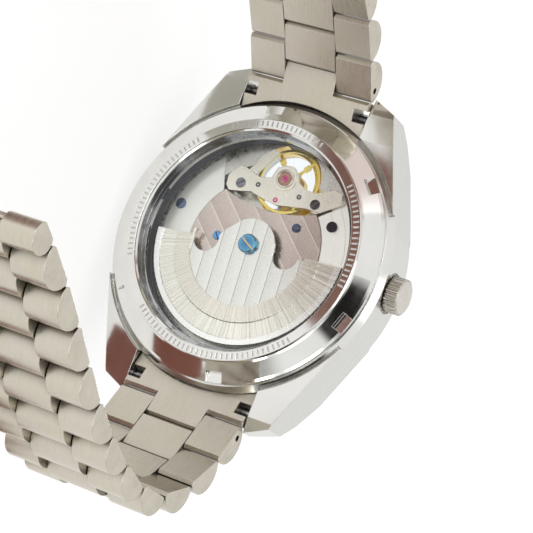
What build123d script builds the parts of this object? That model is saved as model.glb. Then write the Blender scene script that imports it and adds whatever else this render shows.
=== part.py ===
from build123d import *
import os
from math import cos, radians, sin

os.makedirs("parts", exist_ok=True)

# Automatic wristwatch on a three-row steel bracelet, in millimetres.
# The row frame is: X towards 6 o'clock, Y out of the case back towards the wrist, Z towards the crown.
# The origin is the centre of the case back's outer ring face, so heights along Y are negative in the case.
# Flat outlines are drawn on level(h), whose local x runs to the crown and local y to 6 o'clock.

# Case
case_r = 21.6               # outer radius of the case flank
back_edge_h = -2.6          # back face of the mid case
front_edge_h = -10.3        # front face of the mid case
lug_inner_x = 10.05         # half of the 20 mm lug width, with clearance
lug_tip = (13.7, 23.7)      # outer corner of a lug tip
lug_reach = 25.3            # lug tip's inner corner along 6 o'clock
chamber_r = 17.4            # bore that takes the movement holder
thread_r = 19.0             # bore that takes the case back's skirt
thread_floor_h = -4.9
crown_h = -6.7              # height of the stem's axis
bar_reach = 22.5            # spring bars, out from the watch axis
bar_h = -5.2

# Case back
rim_r = 20.6
ring_r = 17.85              # outside of the flat marked ring
window_r = 16.5             # opening over the back crystal
notch_count = 6
tick_arcs = ((-28, 24), (48, 100), (132, 222), (246, 318))   # start and end angles of the tick groups
tick_step = 2.6

# Movement
plate_r = 15.8
balance_at = (0.85, 10.85)
balance_r = 4.9
balance_h = -5.75           # underside of the balance's rim
aperture_at = (-0.4, 10.95) # round opening through the main plate and dial
aperture_r = 4.5
third_at = (-5.10, -1.01)
barrel_at = (4.31, -4.31)
escape_at = (0.90, 4.46)
pallet_at = (0.76, 6.71)
rotor_r = 14.9
rotor_plate_r = 9.15

# Bracelet
pitch = 6.5                 # hinge to hinge
link_thick = 3.3
pin_depth = 1.15            # hinge axis above the inner face
pin_r = 0.45
running = 0.05              # radial clearance of a hinge pin
end_gap = 0.08              # half of the gap between links in a row
bevel = 0.45
half_width = 9.9            # at the lugs; the bracelet tapers from here
half_centre = 4.15
width_step = 0.15           # loss of half width from one link to the next
centre_step = 0.07
side_gap = 0.06
end_link_heading = 20.0
start_12 = (-24.4, -2.1)    # start of the first link's inner face, (row X, row Y)
start_6 = (24.2, -1.5)
headings_12 = (28, 47, 69, 94, 108, 114, 118, 122, 123, 121, 118)
headings_6 = (47, 53, 64, 76, 87, 97, 106, 114)
end_piece_heading = 115
clasp_heading = 122
clasp_length = 28.0


def save(builder, label):
    """Label a finished piece and write its STEP file."""
    builder.part.label = label
    export_step(builder.part, f"parts/{label}.step")


def level(height):
    """Plane across the watch axis: local x to the crown, y to 6 o'clock, normal out of the back."""
    return Plane(origin=(0, height, 0), x_dir=(0, 0, 1), z_dir=(0, 1, 0))


def axis_at(centre):
    """Axis along the watch through a point given as (to crown, to 6 o'clock)."""
    return Axis((centre[1], 0, centre[0]), (0, 1, 0))


def turned(points, centre=(0.0, 0.0)):
    """Solid of revolution from a closed (radius, height) outline about the axis through centre."""
    plane = Plane(origin=(centre[1], 0, centre[0]), x_dir=(0, 0, 1), z_dir=(-1, 0, 0))
    with BuildPart() as piece:
        with BuildSketch(plane):
            with BuildLine():
                Polyline(*points, close=True)
            make_face()
        revolve(axis=axis_at(centre))
    return piece.part


def disc(centre, radius, low, high):
    """Cylinder along the watch axis."""
    with BuildPart() as piece:
        with BuildSketch(level(low)):
            with Locations(centre):
                Circle(radius)
        extrude(amount=high - low)
    return piece.part


def ring(centre, inner, outer, low, high):
    """Tube along the watch axis."""
    with BuildPart() as piece:
        with BuildSketch(level(low)):
            with Locations(centre):
                Circle(outer)
                Circle(inner, mode=Mode.SUBTRACT)
        extrude(amount=high - low)
    return piece.part


def slab(points, low, high):
    """Flat plate with a polygon outline across the watch axis."""
    with BuildPart() as piece:
        with BuildSketch(level(low)):
            with BuildLine():
                Polyline(*points, close=True)
            make_face()
        extrude(amount=high - low)
    return piece.part


def screw_head(centre, radius, low, high, slot_angle):
    """Cheese-head screw with a straight slot."""
    slot_width = radius * 0.22
    slot_depth = (high - low) * 0.5
    with BuildPart() as piece:
        with BuildSketch(level(low)):
            with Locations(centre):
                Circle(radius)
        extrude(amount=high - low)
        top = piece.faces().sort_by(Axis.Y)[-1]
        chamfer(top.edges(), radius * 0.12)
        with BuildSketch(level(high - slot_depth)):
            with Locations(Location((centre[0], centre[1]), slot_angle)):
                Rectangle(2.2 * radius, slot_width)
        extrude(amount=slot_depth, mode=Mode.SUBTRACT)
    return piece.part


def toothed(centre, teeth, pitch_radius, low, high, phase=0.0):
    """Gear with narrow straight-flanked teeth that run clear in the mating gaps."""
    module = 2 * pitch_radius / teeth
    tip = pitch_radius + 0.15 * module
    root = pitch_radius - 0.75 * module
    step = 360 / teeth
    outline = []
    for tooth in range(teeth):
        for offset, radius in ((-0.24, root), (-0.12, tip), (0.12, tip), (0.24, root)):
            angle = radians(phase + (tooth + offset) * step)
            outline.append((centre[0] + radius * cos(angle), centre[1] + radius * sin(angle)))
    return slab(outline, low, high)


def wheel(centre, teeth, pitch_radius, low, high, phase=0.0):
    """Toothed wheel with a rim, a hub and four spokes."""
    with BuildPart() as piece:
        add(toothed(centre, teeth, pitch_radius, low, high, phase))
        with BuildSketch(level(low)):
            with Locations(centre):
                Circle(pitch_radius * 0.84)
                Circle(pitch_radius * 0.24, mode=Mode.SUBTRACT)
                with PolarLocations(0, 2):
                    Rectangle(2 * pitch_radius, pitch_radius * 0.14, mode=Mode.SUBTRACT)
                with PolarLocations(0, 2, start_angle=90):
                    Rectangle(2 * pitch_radius, pitch_radius * 0.14, mode=Mode.SUBTRACT)
        extrude(amount=high - low, mode=Mode.SUBTRACT)
    return piece.part


# ---------------------------------------------------------------- case

with BuildPart() as mid_case:
    with BuildSketch(level(front_edge_h)):
        Circle(case_r)
        with BuildLine():
            Polyline(
                (lug_inner_x, lug_reach), lug_tip, (20.03, 8.09), (20.03, -8.09),
                (lug_tip[0], -lug_tip[1]), (lug_inner_x, -lug_reach), (-lug_inner_x, -lug_reach),
                (-lug_tip[0], -lug_tip[1]), (-20.03, -8.09), (-20.03, 8.09),
                (-lug_tip[0], lug_tip[1]), (-lug_inner_x, lug_reach), close=True)
        make_face()
        with Locations((0, lug_reach - 5), (0, 5 - lug_reach)):
            Rectangle(2 * lug_inner_x, 11, mode=Mode.SUBTRACT)
        Circle(case_r)
    extrude(amount=back_edge_h - front_edge_h)
    with BuildSketch(Plane.XY.offset(-case_r)):
        with BuildLine():
            Polyline(
                (-17.5, front_edge_h), (-21.5, -8.9), (-24.6, -6.4), (-25.6, -5.0), (-25.6, -3.3),
                (-23.0, -2.75), (-19.0, back_edge_h), (19.0, back_edge_h), (23.0, -2.75),
                (25.6, -3.3), (25.6, -5.0), (24.6, -6.4), (21.5, -8.9), (17.5, front_edge_h),
                close=True)
        make_face()
    extrude(amount=2 * case_r, mode=Mode.INTERSECT)
    flank_rim = mid_case.faces().sort_by(Axis.Y)[0].outer_wire().edges().filter_by(GeomType.CIRCLE)
    chamfer(flank_rim, 0.4)
    add(turned([(0, 0), (thread_r, 0), (thread_r, thread_floor_h), (chamber_r, thread_floor_h),
                (chamber_r, -11), (0, -11)]), mode=Mode.SUBTRACT)
    # sloped polished shoulder around the case back's rim
    add(turned([(rim_r + 0.15, back_edge_h + 0.1), (rim_r + 0.15, back_edge_h), (case_r + 0.1, -3.55),
                (case_r + 0.1, back_edge_h + 0.1)]), mode=Mode.SUBTRACT)
    with BuildSketch(Plane(origin=(0, crown_h, 20.75), x_dir=(1, 0, 0), z_dir=(0, 0, 1))):
        Circle(2.95)
    extrude(amount=3, mode=Mode.SUBTRACT)
    with BuildSketch(Plane(origin=(0, crown_h, 17), x_dir=(1, 0, 0), z_dir=(0, 0, 1))):
        Circle(1.0)
    extrude(amount=5, mode=Mode.SUBTRACT)
    # spring bar holes in the lugs
    for bar_x in (-bar_reach, bar_reach):
        with BuildSketch(Plane(origin=(bar_x, bar_h, -11.2), x_dir=(1, 0, 0), z_dir=(0, 0, 1))):
            Circle(0.45)
        extrude(amount=22.4, mode=Mode.SUBTRACT)
save(mid_case, "mid_case")

with BuildPart() as bezel:
    add(turned([(chamber_r, front_edge_h), (21.1, front_edge_h), (21.1, -10.9), (20.3, -11.9),
                (18.45, -11.9), (18.45, -10.8), (chamber_r, -10.8)]))
save(bezel, "bezel")

with BuildPart() as front_crystal:
    add(turned([(0, -10.8), (18.45, -10.8), (18.45, -12.1), (18.15, -12.35), (0, -12.35)]))
save(front_crystal, "front_crystal")

with BuildPart() as inner_flange:
    add(turned([(17.35, -9.0), (16.9, -9.0), (16.2, -9.35), (17.35, -10.25)]))
save(inner_flange, "inner_flange")

with BuildPart() as case_back:
    add(turned([(window_r, 0), (ring_r - 0.08, 0), (ring_r, -0.08), (ring_r, -0.55), (18.1, -0.7),
                (rim_r - 0.35, -1.75), (rim_r, -1.95), (rim_r, back_edge_h), (18.9, back_edge_h),
                (18.9, -4.2), (17.6, -4.2), (17.6, -2.4), (15.6, -2.4), (15.6, -1.75),
                (16.25, -1.75), (16.25, -0.5), (window_r, -0.3)]))
    # six tool notches, open at the rim
    with BuildSketch(level(-1.95)):
        with PolarLocations(rim_r, notch_count, start_angle=-20):
            Rectangle(3.0, 2.5)
    extrude(amount=2, mode=Mode.SUBTRACT)
    # four groups of shallow radial ticks on the flat ring
    with BuildSketch(level(-0.07)):
        for start, stop in tick_arcs:
            for number in range(int((stop - start) / tick_step)):
                angle = start + number * tick_step
                radius = (window_r + ring_r) / 2
                place = (radius * sin(radians(angle)), radius * cos(radians(angle)))
                with Locations(Location(place, -angle)):
                    Rectangle(0.24, 0.78)
    extrude(amount=0.1, mode=Mode.SUBTRACT)
save(case_back, "case_back")

with BuildPart() as back_crystal:
    add(turned([(0, -1.75), (16.25, -1.75), (16.25, -0.6), (16.1, -0.45), (0, -0.45)]))
save(back_crystal, "back_crystal")

with BuildPart() as back_gasket:
    add(ring((0, 0), 17.7, 18.8, thread_floor_h, -4.2))
save(back_gasket, "back_gasket")

with BuildPart() as crown_tube:
    with BuildSketch(Plane(origin=(0, crown_h, 17.45), x_dir=(1, 0, 0), z_dir=(0, 0, 1))):
        Circle(1.0)
        Circle(0.45, mode=Mode.SUBTRACT)
    extrude(amount=3.7)
save(crown_tube, "crown_tube")

# ---------------------------------------------------------------- crown and stem

with BuildPart() as crown:
    with BuildSketch(Plane(origin=(0, crown_h, 21.4), x_dir=(1, 0, 0), z_dir=(0, 0, 1))):
        Circle(2.6)
        with PolarLocations(2.72, 26):
            Circle(0.24, mode=Mode.SUBTRACT)
    extrude(amount=2.1)
    with BuildSketch(Plane(origin=(0, crown_h, 23.5), x_dir=(1, 0, 0), z_dir=(0, 0, 1))):
        Circle(2.45)
    extrude(amount=0.2, taper=40)
save(crown, "crown")

with BuildPart() as stem:
    with BuildSketch(Plane(origin=(0, crown_h, 12.2), x_dir=(1, 0, 0), z_dir=(0, 0, 1))):
        Circle(0.4)
    extrude(amount=9.2)
    with BuildSketch(Plane(origin=(0, crown_h, 13.2), x_dir=(1, 0, 0), z_dir=(0, 0, 1))):
        Circle(0.5)
    extrude(amount=0.8)
save(stem, "stem")

# ---------------------------------------------------------------- movement, fixed pieces

with BuildPart() as movement_holder:
    add(ring((0, 0), 15.9, 17.3, -8.5, -4.6))
    with BuildSketch(Plane(origin=(0, crown_h, 14), x_dir=(1, 0, 0), z_dir=(0, 0, 1))):
        Circle(0.65)
    extrude(amount=4, mode=Mode.SUBTRACT)
save(movement_holder, "movement_holder")

with BuildPart() as mainplate:
    add(disc((0, 0), plate_r, -8.6, -6.6))
    add(ring((0, 0), 12.6, plate_r, -6.7, -4.75))
    add(disc(balance_at, balance_r + 0.35, -7.2, -4.0), mode=Mode.SUBTRACT)
    add(disc(aperture_at, aperture_r, -9.0, -4.0), mode=Mode.SUBTRACT)
    # arm and boss under the balance
    add(slab([(-0.5, 5.0), (2.2, 5.0), (1.7, balance_at[1]), (0.0, balance_at[1])], -8.6, -7.5))
    add(disc(balance_at, 1.7, -8.6, -7.3))
    add(disc((0, 0), 0.7, -9.0, -6.0), mode=Mode.SUBTRACT)
    add(slab([(11.6, -0.9), (16, -0.9), (16, 0.9), (11.6, 0.9)], -7.3, -4.0), mode=Mode.SUBTRACT)
save(mainplate, "mainplate")

balance_clearing = [(-7.7, 6.3), (-10.4, 13.0), (-11.5, 20), (12.5, 20), (11.5, 9.95), (7.4, 6.6)]

with BuildPart() as train_bridge:
    add(turned([(10.45, -4.75), (15.2, -4.75), (15.2, -4.66), (13.9, -4.66), (13.9, -4.56),
                (12.3, -4.56), (12.3, -4.45), (10.45, -4.45)]))
    add(slab(balance_clearing, -5, -4), mode=Mode.SUBTRACT)
save(train_bridge, "train_bridge")

with BuildPart() as rotor_bridge:
    add(disc((0, 0), 10.35, -4.9, -4.35))
    add(disc((-0.3, 26.1), 20.4, -5, -4), mode=Mode.SUBTRACT)
    add(disc((0, 0), 0.92, -5, -4), mode=Mode.SUBTRACT)
save(rotor_bridge, "rotor_bridge")

with BuildPart() as balance_bridge:
    with BuildSketch(level(-4.72)) as bridge_outline:
        with BuildLine():
            Polyline(
                (-7.8, 7.7), (-8.0, 9.2), (-6.7, 11.0), (-5.6, 10.9), (-3.1, 10.1), (-1.3, 10.5),
                (-1.1, 11.8), (0.0, 12.8), (1.5, 12.9), (2.6, 12.0), (3.0, 11.0), (4.4, 10.2),
                (6.3, 10.1), (8.8, 11.3), (10.2, 11.0), (10.6, 9.4), (7.9, 7.5), (5.8, 7.6),
                (3.2, 7.2), (0.9, 6.8), (-0.9, 7.1), (-3.6, 7.7), (-5.3, 7.3), (-7.1, 7.0),
                close=True)
        make_face()
        fillet(bridge_outline.vertices(), 0.3)
    extrude(amount=0.52)
    add(disc((-6.1, 8.4), 1.2, -6.6, -4.7))
    add(disc((6.9, 8.5), 1.2, -6.6, -4.7))
    # flat bar that reaches out beside the balance
    add(slab([(-5.5, 10.3), (-4.25, 9.9), (-1.5, 14.35), (-2.75, 14.7)], -4.6, -4.25))
save(balance_bridge, "balance_bridge")

with BuildPart() as regulator:
    add(ring(balance_at, 1.45, 1.8, -4.2, -4.06))
    add(slab([(-0.45, 11.5), (-0.15, 12.05), (-0.75, 12.35), (-1.0, 11.9)], -4.2, -4.06))
save(regulator, "regulator")

with BuildPart() as shock_setting:
    add(turned([(0.55, -4.2), (1.35, -4.2), (1.35, -4.02), (1.1, -3.98), (1.0, -4.1),
                (0.55, -4.1)], balance_at))
save(shock_setting, "shock_setting")

with BuildPart() as jewels:
    add(turned([(0, -4.2), (0.5, -4.2), (0.5, -4.08), (0.3, -4.0), (0, -3.98)], balance_at))
    for spot in ((-2.9, 8.95), (3.95, 8.88), (0.6, 7.5)):
        add(ring(spot, 0.12, 0.38, -4.2, -4.14))
save(jewels, "jewels")

with BuildPart() as bridge_screws:
    for spot, slot_angle in (((-5.65, 8.5), 40), ((6.75, 8.48), 55)):
        add(screw_head(spot, 0.75, -4.2, -4.0, slot_angle))
    for spot, slot_angle in (((-6.0, 0.15), 130), ((5.35, 4.5), 15)):
        add(screw_head(spot, 0.65, -4.35, -4.1, slot_angle))
    add(screw_head((-13.7, 3.1), 0.8, -4.56, -4.3, 70))
    add(screw_head((10.4, 6.15), 0.8, -4.45, -4.2, 60))
save(bridge_screws, "bridge_screws")

with BuildPart() as rotor_screw:
    add(screw_head((0, 0), 1.4, -2.8, -2.15, 150))
    add(disc((0, 0), 0.9, -4.9, -2.8))
save(rotor_screw, "rotor_screw")

# ---------------------------------------------------------------- rotor

with BuildPart() as rotor_plate:
    with BuildSketch(level(-3.25)):
        Circle(rotor_plate_r)
        with Locations((0, 10)):
            Rectangle(40, 20, mode=Mode.SUBTRACT)
        Circle(3.9)
        with BuildLine():
            Polyline(
                (-5.1, -1.0), (-4.85, 0.3), (-4.0, 1.45), (-2.5, 2.95), (2.5, 2.95), (3.8, 1.3),
                (4.35, -0.6), (4.6, -2), (-5.1, -2), close=True)
        make_face()
        with Locations((-6.75, -0.85), (6.1, 0.0)):
            Circle(2.0, mode=Mode.SUBTRACT)
        Circle(0.95, mode=Mode.SUBTRACT)
    extrude(amount=0.35)
    add(ring((0, 0), 0.95, 2.0, -4.25, -3.2))
save(rotor_plate, "rotor_plate")

with BuildPart() as rotor_weight:
    add(turned([(rotor_plate_r, -3.6), (rotor_plate_r, -2.8), (11.5, -2.8), (11.6, -2.98),
                (13.85, -2.98), (13.95, -2.86), (14.75, -2.86), (rotor_r, -3.0),
                (rotor_r, -3.75), (11.5, -3.75)]))
    add(slab([(-16, -1.55), (0, 0.0), (16, 0.8), (16, 16), (-16, 16)], -4, -2), mode=Mode.SUBTRACT)
save(rotor_weight, "rotor_weight")

# ---------------------------------------------------------------- going train

with BuildPart() as barrel:
    add(toothed(barrel_at, 72, 5.22, -6.1, -5.85, 2.5))
    add(disc(barrel_at, 4.7, -5.9, -5.25))
    add(disc(barrel_at, 0.8, -6.5, -5.25))
save(barrel, "barrel")

with BuildPart() as centre_wheel:
    add(wheel((0, 0), 80, 4.62, -6.4, -6.2, 2.25))
    add(toothed((0, 0), 12, 0.87, -6.25, -5.82))
    add(ring((0, 0), 0.2, 0.38, -9.95, -5.82))
    add(disc((0, 0), 0.2, -10.5, -5), mode=Mode.SUBTRACT)
save(centre_wheel, "centre_wheel")

with BuildPart() as third_wheel:
    add(wheel(third_at, 75, 4.58, -5.6, -5.42))
    add(toothed(third_at, 10, 0.577, -6.5, -5.5))
save(third_wheel, "third_wheel")

with BuildPart() as fourth_wheel:
    add(wheel((0, 0), 84, 4.2, -5.17, -5.02))
    add(toothed((0, 0), 10, 0.612, -5.72, -5.1))
    add(disc((0, 0), 0.13, -10.25, -4.95))
save(fourth_wheel, "fourth_wheel")

with BuildPart() as escape_wheel:
    with BuildSketch(level(-6.12)):
        for tooth in range(15):
            with BuildLine():
                Polyline(*[
                    (escape_at[0] + radius * cos(radians(24 * tooth + turn)),
                     escape_at[1] + radius * sin(radians(24 * tooth + turn)))
                    for radius, turn in ((1.3, -5), (1.9, 3), (1.9, 7), (1.3, 4))], close=True)
            make_face()
        with Locations(escape_at):
            Circle(1.4)
            Circle(1.05, mode=Mode.SUBTRACT)
            Circle(0.5)
            with PolarLocations(0, 2, angular_range=180):
                Rectangle(2.3, 0.24)
    extrude(amount=0.12)
    add(toothed(escape_at, 7, 0.35, -6.05, -4.96, 12))
save(escape_wheel, "escape_wheel")

with BuildPart() as pallet_fork:
    fork_x, fork_y = pallet_at
    with BuildSketch(level(-5.97)):
        with BuildLine():
            Polyline(
                (fork_x - 0.22, fork_y), (fork_x - 0.16, fork_y + 2.6), (fork_x - 0.5, fork_y + 3.0),
                (fork_x - 0.5, fork_y + 3.35), (fork_x - 0.2, fork_y + 3.0), (fork_x + 0.0, fork_y + 3.0),
                (fork_x + 0.3, fork_y + 3.35), (fork_x + 0.3, fork_y + 3.0), (fork_x + 0.12, fork_y + 2.6),
                (fork_x + 0.22, fork_y), (fork_x + 1.55, fork_y - 0.55), (fork_x + 1.35, fork_y - 0.85),
                (fork_x, fork_y - 0.3), (fork_x - 1.35, fork_y - 0.85), (fork_x - 1.55, fork_y - 0.55),
                close=True)
        make_face()
    extrude(amount=0.12)
    add(disc(pallet_at, 0.13, -6.5, -5.82))
save(pallet_fork, "pallet_fork")

with BuildPart() as balance_wheel:
    add(ring(balance_at, balance_r - 0.42, balance_r, balance_h, balance_h + 0.4))
    with BuildSketch(level(balance_h + 0.08)):
        with Locations(balance_at):
            Circle(0.75)
        for spoke_angle in (52, 128):
            with Locations(Location(balance_at, spoke_angle)):
                Rectangle(2 * balance_r - 0.4, 0.42)
                with Locations((3.3, 0), (-3.3, 0)):
                    Rectangle(0.9, 0.85)
    extrude(amount=0.22)
    add(disc(balance_at, 0.15, -7.25, -4.76))
save(balance_wheel, "balance_wheel")

with BuildPart() as hairspring:
    spring_turns = 7
    spring_step = 0.2
    inner_edge = []
    outer_edge_points = []
    for index in range(spring_turns * 12 + 1):
        angle = radians(30 * index)
        radius = 0.3 + spring_step * index / 12
        for points, offset in ((inner_edge, 0.0), (outer_edge_points, 0.05)):
            points.append((balance_at[0] + (radius + offset) * cos(angle),
                           balance_at[1] + (radius + offset) * sin(angle)))
    with BuildSketch(level(-5.3)):
        with BuildLine():
            Spline(*inner_edge)
            Line(inner_edge[-1], outer_edge_points[-1])
            Spline(*outer_edge_points)
            Line(inner_edge[0], outer_edge_points[0])
        make_face()
    extrude(amount=0.12)
save(hairspring, "hairspring")

# ---------------------------------------------------------------- dial side

with BuildPart() as dial:
    add(disc((0, 0), 17.2, -9.0, -8.6))
    add(disc((0, 0), 0.75, -9.1, -8.5), mode=Mode.SUBTRACT)
    add(disc(aperture_at, aperture_r, -9.1, -8.5), mode=Mode.SUBTRACT)
save(dial, "dial")

with BuildPart() as hour_markers:
    with BuildSketch(level(-9.25)):
        with PolarLocations(13.9, 12):
            Rectangle(2.6, 0.8)
        with Locations((0, 13.9)):
            Rectangle(3.0, 3.2, mode=Mode.SUBTRACT)
    extrude(amount=0.25)
save(hour_markers, "hour_markers")


def hand(length, tail, width, low, high, angle, bore):
    """Straight pointed hand with a round boss; angle is clockwise from 12 o'clock as worn."""
    with BuildPart() as piece:
        heading = radians(angle)
        plane = Plane(origin=(0, low, 0), x_dir=(sin(heading), 0, cos(heading)), z_dir=(0, 1, 0))
        with BuildSketch(plane):
            with BuildLine():
                Polyline((-width / 2, tail), (width / 2, tail), (width / 2, -length * 0.82),
                         (0, -length), (-width / 2, -length * 0.82), close=True)
            make_face()
            Circle(width * 0.9 + 0.35)
            Circle(bore, mode=Mode.SUBTRACT)
        extrude(amount=high - low)
    return piece.part


with BuildPart() as hour_hand:
    add(hand(8.2, 2.0, 1.1, -9.52, -9.38, 304, 0.43))
    add(ring((0, 0), 0.43, 0.6, -9.45, -8.3))
save(hour_hand, "hour_hand")

with BuildPart() as minute_hand:
    add(hand(12.6, 2.4, 0.9, -9.82, -9.66, 50, 0.38))
save(minute_hand, "minute_hand")

with BuildPart() as seconds_hand:
    add(hand(14.2, 4.0, 0.25, -10.15, -10.03, 180, 0.13))
save(seconds_hand, "seconds_hand")

# ---------------------------------------------------------------- bracelet


def offset_point(point, heading, side, along, outward):
    """Point moved along a link's heading and out of its wrist side, as (row X, row Y)."""
    forward_x = side * cos(radians(heading))
    forward_y = sin(radians(heading))
    return (point[0] + along * forward_x + outward * side * forward_y,
            point[1] + along * forward_y - outward * side * forward_x)


def path(start, headings, side):
    """Start point of each piece's inner face, each piece turned about its pin in the one before."""
    hinge = offset_point(start, end_link_heading, side, pitch / 4, pin_depth)
    starts = []
    for heading in headings:
        starts.append(offset_point(hinge, heading, side, -pitch / 4, -pin_depth))
        hinge = offset_point(hinge, heading, side, pitch, 0)
    return starts


def side_plane(start, heading, side, offset):
    """Plane of a link's side profile: local x along the bracelet, local y out of the wrist side."""
    return Plane(origin=(start[0], start[1], -side * offset),
                 x_dir=(side * cos(radians(heading)), sin(radians(heading)), 0),
                 z_dir=(0, 0, -side))


def profile_block(start, heading, side, begin, length, low, high, thick=link_thick):
    """Link piece with a flat inner face, bevelled ends and a round outer face, between two offsets."""
    first = begin + end_gap
    last = begin + length - end_gap
    with BuildPart() as piece:
        with BuildSketch(side_plane(start, heading, side, low)):
            with BuildLine():
                Line((first + bevel, 0), (last - bevel, 0))
                Line((last - bevel, 0), (last, bevel))
                ThreePointArc((last, bevel), ((first + last) / 2, thick), (first, bevel))
                Line((first, bevel), (first + bevel, 0))
            make_face()
        extrude(amount=high - low)
    return piece.part


def rod(start, heading, side, along, depth, radius, low, high):
    """Round pin or hole core across the bracelet."""
    with BuildPart() as piece:
        with BuildSketch(side_plane(start, heading, side, low)):
            with Locations((along, depth)):
                Circle(radius)
        extrude(amount=high - low)
    return piece.part


def link(start, heading, side, number, pin_from, pin_to):
    """Two outer pieces, their centre piece half a pitch on, the hinge pin and the fixed pin."""
    width = half_width - width_step * number
    centre = half_centre - centre_step * number
    inner = centre + side_gap
    place = (start, heading, side)
    hinge_at = pitch / 4
    fixed_at = 3 * pitch / 4
    next_hinge_at = 5 * pitch / 4
    with BuildPart() as piece:
        add(profile_block(*place, 0, pitch, inner, width))
        add(profile_block(*place, 0, pitch, -width, -inner))
        add(rod(*place, hinge_at, pin_depth, pin_r, pin_from, pin_to), mode=Mode.SUBTRACT)
        add(profile_block(*place, pitch / 2, pitch, centre_step - centre, centre - centre_step))
        add(rod(*place, next_hinge_at, pin_depth, pin_r + running, -centre, centre), mode=Mode.SUBTRACT)
        add(rod(*place, fixed_at, pin_depth, pin_r, 1 - width, width - 1), mode=Mode.SUBTRACT)
    with BuildPart() as pins:
        add(rod(*place, hinge_at, pin_depth, pin_r, 1 - width, width - 1))
        add(rod(*place, fixed_at, pin_depth, pin_r, 1 - width, width - 1))
    return Compound(children=[*piece.part.solids(), *pins.part.solids()])


starts_12 = path(start_12, (*headings_12, end_piece_heading), -1)
starts_6 = path(start_6, (*headings_6, clasp_heading), 1)

for side, starts, headings, hour in ((-1, starts_12, headings_12, "12"), (1, starts_6, headings_6, "6")):
    for number, (start, heading) in enumerate(zip(starts, headings)):
        width = half_width - width_step * number
        crown_end = width + 1 if number == 0 else width - 1
        low, high = (1 - width, crown_end) if side < 0 else (-crown_end, width - 1)
        bracelet_link = link(start, heading, side, number, low, high)
        label = f"link_{hour}_{number + 1:02d}"
        bracelet_link.label = label
        export_step(bracelet_link, f"parts/{label}.step")


def end_link(start, side):
    """Solid end link: curved against the case, with a centre tongue and spring bar slots."""
    place = (start, end_link_heading, side)
    tongue = half_centre
    with BuildPart() as piece:
        with BuildSketch(side_plane(start, end_link_heading, side, -half_width)):
            with BuildLine():
                Line((-8, 0), (-end_gap - bevel, 0))
                Line((-end_gap - bevel, 0), (-end_gap, bevel))
                ThreePointArc((-end_gap, bevel), (-1.2, 2.9), (-3.6, link_thick + 0.5))
                Line((-3.6, link_thick + 0.5), (-8, 4.6))
                Line((-8, 4.6), (-8, 0))
            make_face()
        extrude(amount=2 * half_width)
        add(profile_block(*place, -pitch, 1.5 * pitch, -tongue, tongue))
        add(rod(*place, pitch / 4, pin_depth, pin_r + running, -tongue, tongue), mode=Mode.SUBTRACT)
        add(disc((0, 0), case_r + 0.05, -15, 5), mode=Mode.SUBTRACT)
        for low in (7.9, -half_width - 0.1):
            with BuildSketch(side_plane(start, end_link_heading, side, low)):
                with Locations((-2.3, 1.5)):
                    Rectangle(1.9, 4.0)
            extrude(amount=half_width - 7.8, mode=Mode.SUBTRACT)
        with BuildSketch(Plane(origin=(side * bar_reach, bar_h, -half_width), x_dir=(1, 0, 0), z_dir=(0, 0, 1))):
            Circle(0.75)
        extrude(amount=2 * half_width, mode=Mode.SUBTRACT)
    return piece


end_link_12 = end_link(start_12, -1)
save(end_link_12, "end_link_12")

end_link_6 = end_link(start_6, 1)
save(end_link_6, "end_link_6")

with BuildPart() as spring_bars:
    for bar_x in (-bar_reach, bar_reach):
        with BuildSketch(Plane(origin=(bar_x, bar_h, -9.8), x_dir=(1, 0, 0), z_dir=(0, 0, 1))):
            Circle(0.7)
        extrude(amount=19.6)
        with BuildSketch(Plane(origin=(bar_x, bar_h, -10.9), x_dir=(1, 0, 0), z_dir=(0, 0, 1))):
            Circle(0.4)
        extrude(amount=21.8)
save(spring_bars, "spring_bars")

# ---------------------------------------------------------------- clasp

last_12 = len(headings_12)
end_width = half_width - width_step * last_12
end_inner = half_centre - centre_step * last_12 + side_gap
end_place = (starts_12[-1], end_piece_heading, -1)
end_length = 3.9

with BuildPart() as end_piece:
    add(profile_block(*end_place, 0, end_length, end_inner, end_width))
    add(profile_block(*end_place, 0, end_length, -end_width, -end_inner))
    add(rod(*end_place, end_length - 0.4, pin_depth, 0.28, -end_inner, end_inner))
    add(rod(*end_place, pitch / 4, pin_depth, pin_r, 1 - end_width, end_width - 1), mode=Mode.SUBTRACT)
    add(rod(*end_place, pitch / 4, pin_depth, pin_r, 1 - end_width, end_width - 1))
save(end_piece, "end_piece")

last_6 = len(headings_6)
clasp_width = half_width - width_step * last_6
clasp_inner = half_centre - centre_step * last_6 + side_gap
clasp_place = (starts_6[-1], clasp_heading, 1)
cover_wall = 0.8
cover_hinge = (clasp_length - 1.6, 1.5)


def clasp_plate(begin, finish, low, high, thick_from, thick_to, sag=0.9):
    """Gently curved plate of the clasp between two offsets and two depths."""
    middle = (begin + finish) / 2
    with BuildPart() as piece:
        with BuildSketch(side_plane(*clasp_place, low)):
            with BuildLine():
                ThreePointArc((begin, thick_from), (middle, thick_from + sag), (finish, thick_from))
                Line((finish, thick_from), (finish, thick_to))
                ThreePointArc((finish, thick_to), (middle, thick_to + sag), (begin, thick_to))
                Line((begin, thick_to), (begin, thick_from))
            make_face()
        extrude(amount=high - low)
    return piece.part


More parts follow.
